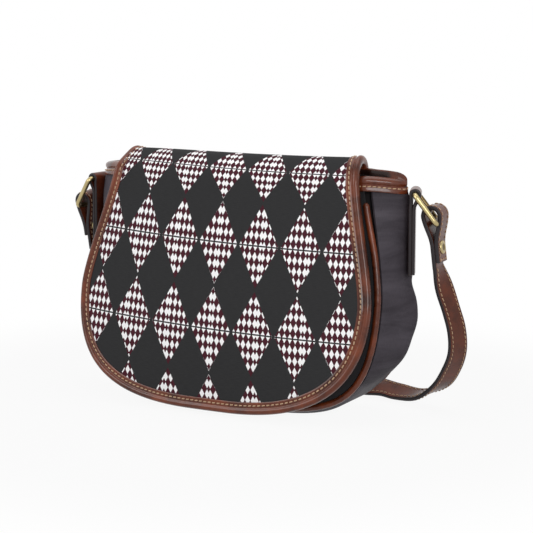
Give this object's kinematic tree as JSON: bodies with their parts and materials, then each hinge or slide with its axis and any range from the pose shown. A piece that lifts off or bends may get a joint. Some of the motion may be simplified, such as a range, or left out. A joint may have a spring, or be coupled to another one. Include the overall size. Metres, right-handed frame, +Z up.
{
  "type": "crossbody saddle bag",
  "caption": "Saddle-shaped crossbody bag with a printed, leather-bound flap, a nylon gusset, a leather-faced mouth, brass rings and a long adjustable leather strap.",
  "frame": {"origin": "on the surface the bag stands on, under the middle of its base", "axes": "+Z up, -Y out of the front where the flap hangs, +X to the right as seen from the front"},
  "size_m": [0.3407, 0.2574, 0.2006],
  "materials": {
    "printed_cloth": "charcoal coated cloth printed with white and maroon diamonds",
    "charcoal_cloth": "plain charcoal coated cloth",
    "grey_nylon": "soft creased nylon",
    "lining_cloth": "dark woven lining",
    "brown_leather": "smooth glossy brown leather with dark painted edges and beige stitching",
    "brass": "pale antique brass plating",
    "steel": "plain steel"
  },
  "bodies": {
    "bag": {"front_panel": "charcoal_cloth", "back_panel": "charcoal_cloth", "front_piping": "brown_leather", "back_piping": "brown_leather", "gusset": "grey_nylon", "mouth_band": "brown_leather", "lining": "lining_cloth", "flap_anchor": "charcoal_cloth", "flap_hinge_fold": "charcoal_cloth", "snap_socket": "brass", "snap_socket_plate": "steel", "right_tab": "brown_leather", "left_tab": "brown_leather", "strap_long": "brown_leather", "strap_short": "brown_leather", "buckle_frame": "brass", "buckle_fold": "brown_leather", "strap_keeper": "brown_leather"},
    "flap": {"flap_panel": "printed_cloth", "flap_lining": "lining_cloth", "flap_binding": "brown_leather", "snap_stud": "brass", "snap_stud_plate": "steel"},
    "right_ring": {"right_ring": "brass", "right_strap_end": "brown_leather", "right_rivet": "brass"},
    "left_ring": {"left_ring": "brass", "left_strap_end": "brown_leather", "left_rivet": "brass"},
    "buckle_prong": {"buckle_prong": "brass"}
  },
  "joints": [
    {"name": "flap_swing", "type": "hinge", "parent": "bag", "child": "flap", "pos_m": [0, 0.025, 0.1685], "axis": [-1, 0, 0], "range_deg": [0, 150], "deforming": ["flap_hinge_fold"]},
    {"name": "right_ring_swing", "type": "hinge", "parent": "bag", "child": "right_ring", "pos_m": [0.143, 0.0195, 0.1737], "axis": [0.3746, -0.9272, 0], "range_deg": [-6, 60], "deforming": ["strap_long"]},
    {"name": "left_ring_swing", "type": "hinge", "parent": "bag", "child": "left_ring", "pos_m": [-0.1422, 0.0195, 0.1697], "axis": [0.1392, 0.9903, 0], "range_deg": [-2, 60], "deforming": ["strap_short"]},
    {"name": "prong_swing", "type": "hinge", "parent": "bag", "child": "buckle_prong", "pos_m": [-0.0555, 0.194, 0.014], "axis": [0, 0, 1], "range_deg": [0, 20]}
  ]
}
